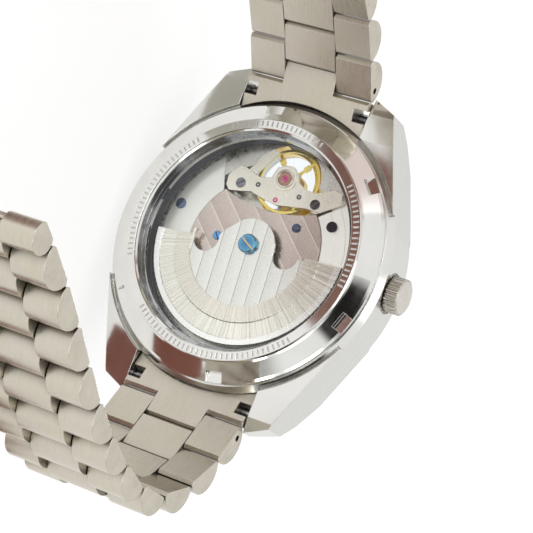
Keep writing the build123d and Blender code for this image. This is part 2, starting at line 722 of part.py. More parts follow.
with BuildPart() as clasp_base:
    add(clasp_plate(pitch / 2 + 0.3, clasp_length - 2.6, -6.9, 6.9, 0.1, 0.9))
    add(profile_block(*clasp_place, 0, 5.2, clasp_inner, 6.9, 2.2))
    add(profile_block(*clasp_place, 0, 5.2, -6.9, -clasp_inner, 2.2))
    add(rod(*clasp_place, *cover_hinge, 0.95, -3.0, 3.0))
    add(clasp_plate(clasp_length - 5.0, clasp_length - 2.0, -3.0, 3.0, 0.5, 1.6, 0.05))
    add(rod(*clasp_place, *cover_hinge, 0.5, -8, 8), mode=Mode.SUBTRACT)
    add(rod(*clasp_place, pitch / 4, pin_depth, pin_r, -6.9, 6.9), mode=Mode.SUBTRACT)
with BuildPart() as clasp_pins:
    add(rod(*clasp_place, *cover_hinge, 0.5, -7.8, 7.8))
    add(rod(*clasp_place, pitch / 4, pin_depth, pin_r, -6.9, 6.9))

clasp_base_with_pins = Compound(children=[*clasp_base.part.solids(), *clasp_pins.part.solids()])
clasp_base_with_pins.label = "clasp_base"
export_step(clasp_base_with_pins, "parts/clasp_base.step")

with BuildPart() as clasp_cover:
    add(clasp_plate(2.6, clasp_length, -clasp_width, clasp_width, 2.9, 3.7))
    add(clasp_plate(3.4, clasp_length - 0.6, clasp_width - cover_wall, clasp_width, 0.6, 3.4))
    add(clasp_plate(3.4, clasp_length - 0.6, -clasp_width, cover_wall - clasp_width, 0.6, 3.4))
    add(rod(*clasp_place, *cover_hinge, 0.55, -clasp_width + 0.3, clasp_width - 0.3), mode=Mode.SUBTRACT)
save(clasp_cover, "clasp_cover")
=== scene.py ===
import math

import bpy
from mathutils import Matrix, Vector


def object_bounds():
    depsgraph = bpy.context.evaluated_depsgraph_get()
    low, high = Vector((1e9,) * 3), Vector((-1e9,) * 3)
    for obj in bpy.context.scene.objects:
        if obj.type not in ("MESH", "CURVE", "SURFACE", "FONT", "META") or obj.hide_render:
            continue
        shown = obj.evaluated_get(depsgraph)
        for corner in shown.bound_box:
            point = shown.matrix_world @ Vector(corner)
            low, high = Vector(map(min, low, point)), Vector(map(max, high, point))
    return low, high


# Automatic wristwatch seen from its case back. The row frame is in metres: X towards 6 o'clock,
# Y out of the case back, Z towards the crown. Places and lengths in materials are in millimetres.

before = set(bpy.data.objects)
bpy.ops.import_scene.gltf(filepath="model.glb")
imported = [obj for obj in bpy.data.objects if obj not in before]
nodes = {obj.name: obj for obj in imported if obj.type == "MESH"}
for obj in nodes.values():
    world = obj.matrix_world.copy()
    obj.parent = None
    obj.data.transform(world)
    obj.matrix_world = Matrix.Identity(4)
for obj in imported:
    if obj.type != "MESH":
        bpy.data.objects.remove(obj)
cad_low, cad_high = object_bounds()

# ---------------------------------------------------------------- places in materials, mm

MM = 0.001

# Axes along Y as (row X, row Z)
CENTRE = (0.0, 0.0)
BALANCE = (10.85, 0.85)
THIRD = (-1.01, -5.10)
BARREL = (-4.31, 4.31)
ESCAPE = (4.46, 0.90)
BRIDGE_HOLES = ((8.95, -2.9), (8.88, 3.95))
BRIDGE_HOLE_R = 0.6

# Case back: its marked ring, and the wall round the window
TICK_R = (16.7, 17.63)
TICK_Y = (-0.2, -0.02)
WINDOW_WALL_R = 16.45
WINDOW_WALL_TOP = -0.5

# Rotor weight: inner groove, outer step
GROOVE_R = (11.3, 11.6)
STEP_R = (13.7, 13.95)

# Gilded recess of the main plate
RECESS_R = 5.4
RECESS_TOP = -4.8

# Dial: the minute track
TRACK_R = (15.35, 16.05)
TRACK_STROKES = 60
STROKE_START = 0.455

# Decorative stripes: spacing, and the unit (row X, row Z) that crosses them
ROTOR_STRIPES = (2.15, math.radians(5.6))
BRIDGE_STRIPES = (2.8, math.radians(47.8))

ROTOR_SLOT_R = 1.24
ROTOR_SLOT_TOP = -2.44

# (row X, row Z, head radius, height of the slot's floor, head colour, slot colour); both colours hold
# painted reflection and shade over the blued steel
SCREWS = (
    (8.50, -5.65, 0.75, -4.10, (0.20, 0.20, 0.22), (0.03, 0.03, 0.03)),
    (8.48, 6.75, 0.75, -4.10, (0.035, 0.03, 0.035), (0.42, 0.28, 0.10)),
    (0.15, -6.00, 0.65, -4.225, (0.10, 0.34, 0.72), (0.02, 0.03, 0.06)),
    (4.50, 5.35, 0.65, -4.225, (0.02, 0.035, 0.10), (0.20, 0.16, 0.12)),
    (3.10, -13.7, 0.80, -4.43, (0.10, 0.15, 0.26), (0.03, 0.03, 0.04)),
    (6.15, 10.4, 0.80, -4.325, (0.015, 0.015, 0.02), (0.16, 0.13, 0.10)),
)

# ---------------------------------------------------------------- colours

STEEL = (0.74, 0.735, 0.705)
WARM_STEEL = (0.56, 0.525, 0.43)
NICKEL = (0.74, 0.72, 0.66)
GILT = (0.83, 0.60, 0.22)


def add_node(tree, kind, inputs=None, **props):
    """New node; an input that is a socket is linked, and any other is set."""
    made = tree.nodes.new(kind)
    for key, value in props.items():
        setattr(made, key, value)
    for key, value in (inputs or {}).items():
        if isinstance(value, bpy.types.NodeSocket):
            tree.links.new(value, made.inputs[key])
        else:
            made.inputs[key].default_value = value
    return made


def tinted(colour, factor):
    return tuple(min(1.0, channel * factor) for channel in colour)


class Tree:
    """Nodes of one material. Its methods return output sockets; lengths are in millimetres."""

    def __init__(self, name):
        self.material = bpy.data.materials.new(name)
        self.material.use_nodes = True
        self.tree = self.material.node_tree
        self.tree.nodes.clear()
        place = self.node("ShaderNodeTexCoord").outputs["Object"]
        self.mm = self.scaled(place, 1.0 / MM)
        parts = self.node("ShaderNodeSeparateXYZ", {0: self.mm}).outputs
        self.x, self.y, self.z = parts[0], parts[1], parts[2]
        self.normal = self.node("ShaderNodeNewGeometry").outputs["Normal"]

    def node(self, kind, inputs=None, **props):
        return add_node(self.tree, kind, inputs, **props)

    def math(self, operation, *values):
        return self.node("ShaderNodeMath", dict(enumerate(values)), operation=operation).outputs[0]

    def vector(self, operation, *values):
        made = self.node("ShaderNodeVectorMath", dict(enumerate(values)), operation=operation)
        return made.outputs["Value" if operation in ("LENGTH", "DOT_PRODUCT") else "Vector"]

    def scaled(self, source, factor):
        inputs = {0: source, "Scale": factor}
        return self.node("ShaderNodeVectorMath", inputs, operation="SCALE").outputs["Vector"]

    def combine(self, x, y, z):
        return self.node("ShaderNodeCombineXYZ", {0: x, 1: y, 2: z}).outputs[0]

    def add(self, first, second):
        return self.math("ADD", first, second)

    def times(self, *values):
        """Product of the values; for masks, the place where all of them hold."""
        product = values[0]
        for value in values[1:]:
            product = self.math("MULTIPLY", product, value)
        return product

    def below(self, value, limit):
        return self.math("LESS_THAN", value, limit)

    def above(self, value, limit):
        return self.math("GREATER_THAN", value, limit)

    def noise(self, source, scale=1.0, detail=3.0, roughness=0.55):
        inputs = {"Vector": source, "Scale": scale, "Detail": detail, "Roughness": roughness}
        return self.node("ShaderNodeTexNoise", inputs).outputs[0]

    def streaks(self, factors, detail=4.0):
        """Noise drawn out along the axes whose factor is small; factors are cycles per mm."""
        return self.noise(self.vector("MULTIPLY", self.mm, factors), 1.0, detail, 0.6)

    def circles(self, radius, cycles):
        """Noise in circles about the axis that the radius is taken from."""
        return self.noise(self.combine(self.times(radius, cycles), 0.0, 0.0))

    def span(self, value, low, high, to_low=0.0, to_high=1.0, smooth=False):
        """Value mapped from low..high to to_low..to_high, and held at both ends."""
        inputs = {"Value": value, "From Min": low, "From Max": high}
        inputs.update({"To Min": to_low, "To Max": to_high})
        kind = "SMOOTHSTEP" if smooth else "LINEAR"
        return self.node("ShaderNodeMapRange", inputs, interpolation_type=kind).outputs[0]

    def mix(self, factor, first, second):
        """First colour where the factor is 0, second where it is 1."""
        colours = [value if isinstance(value, bpy.types.NodeSocket) else (*value, 1.0)
                   for value in (first, second)]
        inputs = {0: factor, 6: colours[0], 7: colours[1]}
        return self.node("ShaderNodeMix", inputs, data_type="RGBA").outputs[2]

    def polar(self, centre):
        """Distance from an axis along Y, and the unit direction from it."""
        flat = self.combine(self.x, 0.0, self.z)
        arm = self.vector("SUBTRACT", flat, (centre[0], 0.0, centre[1]))
        return self.vector("LENGTH", arm), self.vector("NORMALIZE", arm)

    def rounded(self, radius):
        """Normal with softened edges, and a mask that is 1 on the edges."""
        normal = self.node("ShaderNodeBevel", {"Radius": radius * MM}, samples=4).outputs[0]
        facing = self.vector("DOT_PRODUCT", normal, self.normal)
        return normal, self.span(self.math("SUBTRACT", 1.0, facing), 0.015, 0.16)

    def openness(self, reach, normal):
        """1 in the open, falling towards 0 in gaps narrower than the reach."""
        inputs = {"Distance": reach * MM, "Normal": normal}
        return self.node("ShaderNodeAmbientOcclusion", inputs, samples=6).outputs["AO"]

    def bump(self, height, distance, strength, normal):
        inputs = {"Height": height, "Distance": distance * MM}
        inputs.update({"Strength": strength, "Normal": normal})
        return self.node("ShaderNodeBump", inputs).outputs[0]

    def surface(self, colour, roughness, normal, tangent=None, **constants):
        """Principled surface; constants are set on its own sockets."""
        inputs = {"Base Color": colour, "Roughness": roughness, "Normal": normal}
        if tangent is not None:
            inputs["Tangent"] = tangent
        shader = self.node("ShaderNodeBsdfPrincipled", inputs)
        for key, value in constants.items():
            shader.inputs[key.replace("_", " ")].default_value = value
        self.node("ShaderNodeOutputMaterial", {"Surface": shader.outputs[0]})
        return self.material


# ---------------------------------------------------------------- general finishes


def brushed_metal(name, colour, factors, rough=(0.22, 0.38), edge_r=0.1):
    """Metal with straight brushing, cloudy handling marks, and worn edges with a painted highlight."""
    tree = Tree(name)
    lines = tree.streaks(factors)
    clouds = tree.noise(tree.mm, 0.45)
    normal, edge_wear_and_sheen = tree.rounded(edge_r)
    body = tree.mix(lines, tinted(colour, 0.86), tinted(colour, 1.12))
    body = tree.mix(tree.span(clouds, 0.35, 0.7, 0.0, 0.35), body, tinted(colour, 0.9))
    # Painted highlight: the edges are lighter in colour; wear lowers their roughness below.
    body = tree.mix(tree.times(edge_wear_and_sheen, 0.7), body, tinted(colour, 1.3))
    roughness = tree.add(tree.span(lines, 0.3, 0.7, *rough), tree.span(clouds, 0.3, 0.7, -0.03, 0.03))
    roughness = tree.math("SUBTRACT", roughness, tree.times(edge_wear_and_sheen, 0.12))
    return tree.surface(body, roughness, tree.bump(lines, 0.0015, 0.5, normal), Metallic=1.0)


def polished_metal(name, colour, edge_r=0.12, rough=(0.07, 0.13)):
    """Mirror metal with faint swirls, fine scratches and softened edges."""
    tree = Tree(name)
    scratches = tree.streaks((9.0, 1.2, 2.3), 5.0)
    clouds = tree.noise(tree.mm, 0.35, 2.0)
    normal, edge_wear_and_sheen = tree.rounded(edge_r)
    body = tree.mix(clouds, tinted(colour, 0.94), tinted(colour, 1.04))
    # Painted highlight: the edges are lighter in colour.
    body = tree.mix(tree.times(edge_wear_and_sheen, 0.6), body, tinted(colour, 1.25))
    scored = tree.span(scratches, 0.62, 0.8, 0.0, 0.12)
    roughness = tree.add(tree.span(clouds, 0.35, 0.65, *rough), scored)
    return tree.surface(body, roughness, tree.bump(scratches, 0.0006, 0.25, normal), Metallic=1.0)


def turned_metal(name, colour, centre, rough=(0.2, 0.34), depth=0.0012):
    """Metal with circular graining about one axis."""
    tree = Tree(name)
    radius, _ = tree.polar(centre)
    across = tree.combine(tree.times(radius, 16.0), tree.times(tree.y, 9.0), 0.0)
    lines = tree.noise(across, 1.0, 4.0)
    clouds = tree.noise(tree.mm, 0.8)
    normal, edge_wear_and_sheen = tree.rounded(0.05)
    body = tree.mix(lines, tinted(colour, 0.82), tinted(colour, 1.12))
    body = tree.mix(tree.span(clouds, 0.35, 0.7, 0.0, 0.3), body, tinted(colour, 0.86))
    # Painted highlight: the edges are lighter in colour.
    body = tree.mix(tree.times(edge_wear_and_sheen, 0.8), body, tinted(colour, 1.35))
    roughness = tree.span(lines, 0.3, 0.7, *rough)
    return tree.surface(body, roughness, tree.bump(lines, depth, 0.5, normal), Metallic=1.0)


def striped_metal(name, light, dark, stripes, line):
    """Plate with straight decorative stripes, each rising to a fine line at its edge."""
    pitch, turn = stripes
    tree = Tree(name)
    over = tree.vector("DOT_PRODUCT", tree.mm, (math.sin(turn), 0.0, math.cos(turn)))
    along = tree.vector("DOT_PRODUCT", tree.mm, (-math.cos(turn), 0.0, math.sin(turn)))
    phase = tree.math("FRACT", tree.math("DIVIDE", over, pitch))
    across = tree.combine(tree.times(over, 1.2), tree.times(along, 14.0), 0.0)
    grain = tree.noise(across, 1.0, 4.0)
    normal, edge_wear_and_sheen = tree.rounded(0.08)
    body = tree.mix(phase, dark, light)
    body = tree.mix(tree.span(grain, 0.3, 0.75, 0.0, 0.28), body, tinted(light, 0.8))
    from_middle = tree.math("ABSOLUTE", tree.math("SUBTRACT", phase, 0.5))
    joint = tree.span(from_middle, 0.455, 0.49, smooth=True)
    body = tree.mix(tree.times(joint, 0.75), body, line)
    # Painted highlight: the edges are lighter in colour.
    body = tree.mix(tree.times(edge_wear_and_sheen, 0.8), body, tinted(light, 1.25))
    height = tree.add(phase, tree.times(grain, 0.08))
    roughness = tree.span(grain, 0.3, 0.7, 0.2, 0.3)
    return tree.surface(body, roughness, tree.bump(height, 0.02, 0.55, normal), Metallic=1.0)


def moulded(name, dark, light, grain, rough):
    """Rubber, plastic or paint with a fine grain."""
    tree = Tree(name)
    speckle = tree.noise(tree.mm, grain, 4.0)
    clouds = tree.noise(tree.mm, 0.7)
    normal, edge_wear_and_sheen = tree.rounded(0.08)
    body = tree.mix(clouds, dark, light)
    # Painted highlight: the edges are lighter in colour.
    body = tree.mix(tree.times(edge_wear_and_sheen, 0.4), body, tinted(light, 1.6))
    roughness = tree.span(speckle, 0.3, 0.7, *rough)
    return tree.surface(body, roughness, tree.bump(speckle, 0.01, 0.4, normal))


def clear_crystal(name, tint):
    """Polished sapphire: clear, with a mirror share that grows towards the grazing angle."""
    tree = Tree(name)
    smears = tree.noise(tree.mm, 0.25, 4.0)
    normal, _ = tree.rounded(0.1)
    through = tree.node("ShaderNodeBsdfTransparent", {"Color": (*tint, 1.0)})
    gloss = {"Roughness": tree.span(smears, 0.3, 0.7, 0.01, 0.06), "Normal": normal}
    shine = tree.node("ShaderNodeBsdfGlossy", gloss)
    weight = tree.node("ShaderNodeLayerWeight", {"Blend": 0.5, "Normal": normal})
    share = tree.span(tree.math("POWER", weight.outputs["Facing"], 5.0), 0.0, 1.0, 0.04, 1.0)
    inside = tree.node("ShaderNodeNewGeometry").outputs["Backfacing"]
    share = tree.times(share, tree.math("SUBTRACT", 1.0, inside))
    mixed = tree.node("ShaderNodeMixShader", {0: share, 1: through.outputs[0], 2: shine.outputs[0]})
    tree.node("ShaderNodeOutputMaterial", {"Surface": mixed.outputs[0]})
    return tree.material


# ---------------------------------------------------------------- finishes of single nodes


def case_metal():
    """Satin flank brushed round the case, and polished faces and bevels."""
    tree = Tree("case_steel")
    lines = tree.streaks((0.15, 22.0, 0.15))
    clouds = tree.noise(tree.mm, 0.3)
    facing_y = tree.node("ShaderNodeSeparateXYZ", {0: tree.normal}).outputs[1]
    flank = tree.span(tree.math("ABSOLUTE", facing_y), 0.1, 0.35, 1.0, 0.0)
    normal, edge_wear_and_sheen = tree.rounded(0.14)
    body = tree.mix(clouds, tinted(STEEL, 0.93), tinted(STEEL, 1.06))
    body = tree.mix(tree.times(flank, lines), body, tinted(STEEL, 0.88))
    # Painted highlight: the bevels and edges are lighter in colour.
    body = tree.mix(tree.times(edge_wear_and_sheen, 0.6), body, tinted(STEEL, 1.28))
    satin = tree.times(flank, tree.span(lines, 0.3, 0.7, 0.08, 0.2))
    roughness = tree.add(tree.span(clouds, 0.3, 0.7, 0.08, 0.14), satin)
    return tree.surface(body, roughness, tree.bump(lines, 0.001, 0.4, normal), Metallic=1.0)


def crown_metal():
    """Brushed crown with a painted highlight on the flute crests and painted brown shade in the gaps
    between them.
    """
    tree = Tree("crown_steel")
    lines = tree.streaks((6.0, 2.0, 6.0))
    clouds = tree.noise(tree.mm, 0.5)
    normal, edge_wear_and_sheen = tree.rounded(0.07)
    body = tree.mix(lines, (0.56, 0.53, 0.48), (0.74, 0.71, 0.66))
    body = tree.mix(tree.span(clouds, 0.35, 0.7, 0.0, 0.3), body, (0.50, 0.46, 0.41))
    # Painted highlight: the flute crests are lighter in colour.
    body = tree.mix(tree.times(edge_wear_and_sheen, 0.6), body, (0.90, 0.87, 0.82))
    # Painted shade: occlusion darkens the gaps between the flutes to brown.
    painted_gap_shade = tree.span(tree.openness(0.8, tree.normal), 0.45, 1.0, 1.0, 0.0)
    body = tree.mix(painted_gap_shade, body, (0.09, 0.07, 0.05))
    roughness = tree.span(lines, 0.3, 0.7, 0.16, 0.28)
    return tree.surface(body, roughness, tree.bump(lines, 0.001, 0.4, normal), Metallic=1.0)


def back_metal():
    """Polished case back with matt ticks on its flat ring and a darker wall round the window."""
    tree = Tree("case_back_steel")
    radius, _ = tree.polar(CENTRE)
    lines = tree.circles(radius, 14.0)
    clouds = tree.noise(tree.mm, 0.3)
    normal, edge_wear_and_sheen = tree.rounded(0.08)
    body = tree.mix(clouds, tinted(STEEL, 0.97), tinted(STEEL, 1.1))
    # Painted highlight: the edges are lighter in colour.
    body = tree.mix(tree.times(edge_wear_and_sheen, 0.5), body, tinted(STEEL, 1.3))
    ring = tree.times(tree.above(radius, TICK_R[0]), tree.below(radius, TICK_R[1]))
    cut = tree.times(ring, tree.below(tree.y, TICK_Y[1]), tree.above(tree.y, TICK_Y[0]))
    body = tree.mix(cut, body, (0.56, 0.55, 0.53))
    wall = tree.times(tree.below(radius, WINDOW_WALL_R), tree.below(tree.y, WINDOW_WALL_TOP))
    body = tree.mix(tree.times(wall, 0.7), body, (0.34, 0.34, 0.34))
    roughness = tree.add(tree.span(clouds, 0.3, 0.7, 0.06, 0.12), tree.times(cut, 0.45))
    return tree.surface(body, roughness, tree.bump(lines, 0.0004, 0.3, normal), Metallic=1.0)


def weight_metal():
    """Rotor weight with radial brushing and a brighter outer step."""
    tree = Tree("rotor_weight_steel")
    radius, heading = tree.polar(CENTRE)
    rays = tree.noise(tree.scaled(heading, 62.0), 1.0, 5.0, 0.75)
    broad = tree.noise(tree.scaled(heading, 9.0))
    normal, edge_wear_and_sheen = tree.rounded(0.06)
    base = (0.93, 0.90, 0.79)
    body = tree.mix(tree.span(rays, 0.36, 0.62), tinted(base, 0.60), tinted(base, 1.07))
    body = tree.mix(tree.span(broad, 0.35, 0.7, 0.0, 0.35), body, (0.90, 0.82, 0.72))
    body = tree.mix(tree.span(radius, *GROOVE_R, 0.35, 0.0), body, (0.66, 0.58, 0.48))
    body = tree.mix(tree.span(radius, *STEP_R, 0.0, 0.8), body, (0.97, 0.96, 0.92))
    # Painted highlight: the edges are lighter in colour.
    body = tree.mix(tree.times(edge_wear_and_sheen, 0.7), body, (0.97, 0.95, 0.9))
    around = tree.vector("CROSS_PRODUCT", heading, (0.0, 1.0, 0.0))
    roughness = tree.span(rays, 0.3, 0.7, 0.2, 0.34)
    return tree.surface(body, roughness, tree.bump(rays, 0.004, 0.6, normal),
                        tangent=around, Metallic=1.0, Anisotropic=0.5)


def plate_metal():
    """Main plate with overlapping round graining, gilded in the balance's recess."""
    tree = Tree("mainplate_nickel")
    flat = tree.combine(tree.x, 0.0, tree.z)
    pearls = tree.node("ShaderNodeTexVoronoi", {"Vector": flat, "Scale": 0.9})
    rings = tree.math("FRACT", tree.times(pearls.outputs["Distance"], 9.0))
    clouds = tree.noise(tree.mm, 1.1)
    from_balance, _ = tree.polar(BALANCE)
    gilded = tree.times(tree.below(from_balance, RECESS_R), tree.below(tree.y, RECESS_TOP))
    normal, edge_wear_and_sheen = tree.rounded(0.06)
    body = tree.mix(rings, tinted(NICKEL, 0.78), tinted(NICKEL, 1.05))
    body = tree.mix(gilded, body, tree.mix(clouds, tinted(GILT, 0.85), tinted(GILT, 1.12)))
    # Painted highlight: the edges are lighter in colour.
    body = tree.mix(tree.times(edge_wear_and_sheen, 0.7), body, (0.95, 0.9, 0.78))
    roughness = tree.span(clouds, 0.3, 0.7, 0.22, 0.36)
    return tree.surface(body, roughness, tree.bump(rings, 0.004, 0.4, normal), Metallic=1.0)


def screw_metal():
    """Heat-coloured screws with painted reflection and shade: each head has its own tone and a darker
    or brassy slot.
    """
    tree = Tree("bridge_screw_steel")
    body = (0.08, 0.12, 0.25)
    slot = (0.03, 0.03, 0.04)
    sunk = 0.0
    for x, z, head, floor, colour, slot_shade_and_reflection in SCREWS:
        away, _ = tree.polar((x, z))
        near = tree.below(away, head * 1.3)
        # Painted reflection and shade: each head and slot takes the tone it shows as lit.
        body = tree.mix(near, body, colour)
        slot = tree.mix(near, slot, slot_shade_and_reflection)
        here = tree.times(tree.below(away, head * 0.86), tree.below(tree.y, floor + 0.03))
        sunk = tree.math("MAXIMUM", sunk, here)
    clouds = tree.noise(tree.mm, 3.0)
    lines = tree.streaks((18.0, 2.0, 3.0))
    normal, edge_wear_and_sheen = tree.rounded(0.05)
    body = tree.mix(tree.span(clouds, 0.3, 0.7, 0.0, 0.35), body, (0.30, 0.32, 0.40))
    # Painted highlight: the edges are lighter in colour.
    body = tree.mix(tree.times(edge_wear_and_sheen, 0.55), body, (0.55, 0.58, 0.65))
    body = tree.mix(sunk, body, slot)
    roughness = tree.span(lines, 0.3, 0.7, 0.1, 0.24)
    return tree.surface(body, roughness, tree.bump(lines, 0.0008, 0.4, normal), Metallic=1.0)


def rotor_screw_metal():
    """Mid-blue screw, paler towards its edge, with a brassy slot."""
    tree = Tree("rotor_screw_steel")
    radius, _ = tree.polar(CENTRE)
    clouds = tree.noise(tree.mm, 1.6)
    lines = tree.circles(radius, 20.0)
    normal, edge_wear_and_sheen = tree.rounded(0.06)
    body = tree.mix(tree.span(radius, 0.3, 1.35), (0.05, 0.20, 0.34), (0.16, 0.42, 0.60))
    body = tree.mix(tree.span(clouds, 0.35, 0.7, 0.0, 0.4), body, (0.10, 0.28, 0.50))
    # Painted highlight: the edges are lighter in colour.
    body = tree.mix(tree.times(edge_wear_and_sheen, 0.6), body, (0.55, 0.70, 0.80))
    sunk = tree.times(tree.below(radius, ROTOR_SLOT_R), tree.below(tree.y, ROTOR_SLOT_TOP))
    body = tree.mix(sunk, body, (0.62, 0.50, 0.34))
    roughness = tree.span(lines, 0.3, 0.7, 0.12, 0.24)
    return tree.surface(body, roughness, tree.bump(lines, 0.0008, 0.4, normal), Metallic=1.0)


def shock_metal():
    """Shock setting: steel lip round a dark rose cup."""
    tree = Tree("shock_setting_gilt")
    radius, _ = tree.polar(BALANCE)
    lines = tree.circles(radius, 22.0)
    normal, edge_wear_and_sheen = tree.rounded(0.04)
    cup = tree.mix(lines, (0.30, 0.16, 0.12), (0.50, 0.30, 0.20))
    body = tree.mix(tree.span(radius, 1.0, 1.1), cup, (0.70, 0.62, 0.54))
    # Painted highlight: the edges are lighter in colour.
    body = tree.mix(tree.times(edge_wear_and_sheen, 0.7), body, (0.90, 0.78, 0.62))
    roughness = tree.span(lines, 0.3, 0.7, 0.14, 0.26)
    return tree.surface(body, roughness, tree.bump(lines, 0.001, 0.4, normal), Metallic=1.0)


def jewel_stone():
    """Synthetic ruby, with the two holes of the balance bridge in dark steel."""
    tree = Tree("ruby")
    clouds = tree.noise(tree.mm, 4.0)
    radius, _ = tree.polar(BALANCE)
    normal, _ = tree.rounded(0.03)
    body = tree.mix(clouds, (0.42, 0.01, 0.10), (0.72, 0.04, 0.26))
    body = tree.mix(tree.below(radius, 0.2), body, (0.20, 0.0, 0.04))
    for hole in BRIDGE_HOLES:
        away, _ = tree.polar(hole)
        body = tree.mix(tree.below(away, BRIDGE_HOLE_R), body, (0.05, 0.035, 0.04))
    roughness = tree.span(clouds, 0.3, 0.7, 0.06, 0.14)
    return tree.surface(body, roughness, tree.bump(clouds, 0.002, 0.2, normal),
                        IOR=1.76, Coat_Weight=0.6, Coat_Roughness=0.04)


def dial_face():
    """Satin white dial with sunburst graining and a printed minute track."""
    tree = Tree("dial_paint")
    radius, heading = tree.polar(CENTRE)
    rays = tree.noise(tree.scaled(heading, 60.0), 1.0, 4.0)
    speckle = tree.noise(tree.mm, 12.0, 2.0)
    turn = tree.times(tree.math("ARCTAN2", tree.z, tree.x), TRACK_STROKES / math.tau)
    beside = tree.math("ABSOLUTE", tree.math("SUBTRACT", tree.math("FRACT", turn), 0.5))
    track = tree.times(tree.above(radius, TRACK_R[0]), tree.below(radius, TRACK_R[1]))
    printed = tree.times(tree.above(beside, STROKE_START), track)
    normal, _ = tree.rounded(0.05)
    body = tree.mix(rays, (0.74, 0.74, 0.72), (0.90, 0.90, 0.88))
    body = tree.mix(printed, body, (0.05, 0.05, 0.06))
    roughness = tree.span(speckle, 0.3, 0.7, 0.28, 0.42)
    return tree.surface(body, roughness, tree.bump(rays, 0.002, 0.3, normal),
                        Metallic=0.35, Coat_Weight=0.3)


def link_metal():
    """Brushed bracelet steel: lines along the bracelet, painted highlights on the bevels, painted shade
    in the gaps.
    """
    tree = Tree("bracelet_steel")
    lines = tree.streaks((0.35, 0.35, 26.0), 5.0)
    fine = tree.noise(tree.mm, 9.0)
    clouds = tree.noise(tree.mm, 0.22)
    normal, edge_wear_and_sheen = tree.rounded(0.12)
    low, high = tinted(WARM_STEEL, 0.88), tinted(WARM_STEEL, 1.12)
    body = tree.mix(tree.span(lines, 0.3, 0.7), low, high)
    body = tree.mix(tree.span(clouds, 0.35, 0.65, 0.0, 0.4), body, (0.62, 0.56, 0.53))
    # Painted highlight: the bevels are lighter in colour.
    body = tree.mix(tree.times(edge_wear_and_sheen, 0.6), body, (0.84, 0.82, 0.76))
    # Painted shade: occlusion darkens the gaps between links and domes.
    painted_gap_shade = tree.span(tree.openness(2.2, normal), 0.15, 0.9, 0.85, 0.0)
    body = tree.mix(painted_gap_shade, body, (0.10, 0.09, 0.08))
    roughness = tree.add(tree.span(lines, 0.3, 0.7, 0.24, 0.38), tree.span(fine, 0.3, 0.7, -0.03, 0.03))
    roughness = tree.math("SUBTRACT", roughness, tree.times(edge_wear_and_sheen, 0.14))
    height = tree.add(lines, tree.times(fine, 0.25))
    return tree.surface(body, roughness, tree.bump(height, 0.0022, 0.55, normal), Metallic=1.0)


# ---------------------------------------------------------------- finish of every node

bracelet = link_metal()
polished = polished_metal("polished_steel", STEEL)
plain_steel = brushed_metal("spring_steel", (0.42, 0.42, 0.43), (3.0, 3.0, 12.0), edge_r=0.05)

finishes = {
    "mid_case": case_metal(),
    "crown_tube": polished,
    "bezel": polished,
    "case_back": back_metal(),
    "crown": crown_metal(),
    "hour_markers": polished,
    "hour_hand": polished,
    "minute_hand": polished,
    "seconds_hand": polished,
    "stem": polished,
    "front_crystal": clear_crystal("front_sapphire", (0.97, 0.985, 0.99)),
    "back_crystal": clear_crystal("back_sapphire", (0.985, 0.993, 1.0)),
    "back_gasket": moulded("gasket_rubber", (0.012, 0.012, 0.013), (0.03, 0.03, 0.032),
                           14.0, (0.5, 0.7)),
    "movement_holder": moulded("holder_plastic", (0.10, 0.10, 0.11), (0.16, 0.16, 0.17),
                               10.0, (0.3, 0.45)),
    "dial": dial_face(),
    "inner_flange": moulded("flange_paint", (0.62, 0.62, 0.61), (0.78, 0.78, 0.76),
                            8.0, (0.3, 0.42)),
    "mainplate": plate_metal(),
    "train_bridge": turned_metal("train_bridge_nickel", (0.90, 0.88, 0.81), CENTRE,
                                 rough=(0.34, 0.46), depth=0.002),
    "balance_bridge": brushed_metal("balance_bridge_nickel", (0.86, 0.81, 0.70), (7.0, 2.0, 7.0),
                                    rough=(0.24, 0.36)),
    "regulator": polished_metal("regulator_steel", (0.84, 0.79, 0.68),
                                edge_r=0.05, rough=(0.14, 0.22)),
    "rotor_bridge": striped_metal("rose_plate", (0.66, 0.56, 0.50), (0.52, 0.43, 0.385),
                                  BRIDGE_STRIPES, (0.86, 0.78, 0.66)),
    "rotor_plate": striped_metal("rotor_plate_steel", (0.88, 0.87, 0.80), (0.76, 0.745, 0.68),
                                 ROTOR_STRIPES, (0.36, 0.34, 0.30)),
    "rotor_weight": weight_metal(),
    "balance_wheel": turned_metal("balance_gilt", (0.95, 0.72, 0.20), BALANCE),
    "centre_wheel": turned_metal("centre_wheel_gilt", GILT, CENTRE),
    "fourth_wheel": turned_metal("fourth_wheel_gilt", GILT, CENTRE),
    "third_wheel": turned_metal("third_wheel_gilt", GILT, THIRD),
    "barrel": turned_metal("barrel_gilt", GILT, BARREL),
    "escape_wheel": turned_metal("escape_wheel_gilt", (0.75, 0.68, 0.55), ESCAPE),
    "shock_setting": shock_metal(),
    "hairspring": brushed_metal("hairspring_steel", (0.20, 0.17, 0.22), (6.0, 3.0, 6.0),
                                edge_r=0.02),
    "pallet_fork": plain_steel,
    "spring_bars": plain_steel,
    "bridge_screws": screw_metal(),
    "rotor_screw": rotor_screw_metal(),
    "jewels": jewel_stone(),
}

for name, piece in nodes.items():
    piece.data.materials.clear()
    piece.data.materials.append(finishes.get(name, bracelet))

# ---------------------------------------------------------------- stage dimensions, m

FLOOR_HALF = 0.55
FLOOR_DROP = 0.0001
CARD_LIFT = 0.0008
BACKDROP = 1.1
HORIZON = (-0.02, 0.14)
ROOM = (0.42, 0.98)

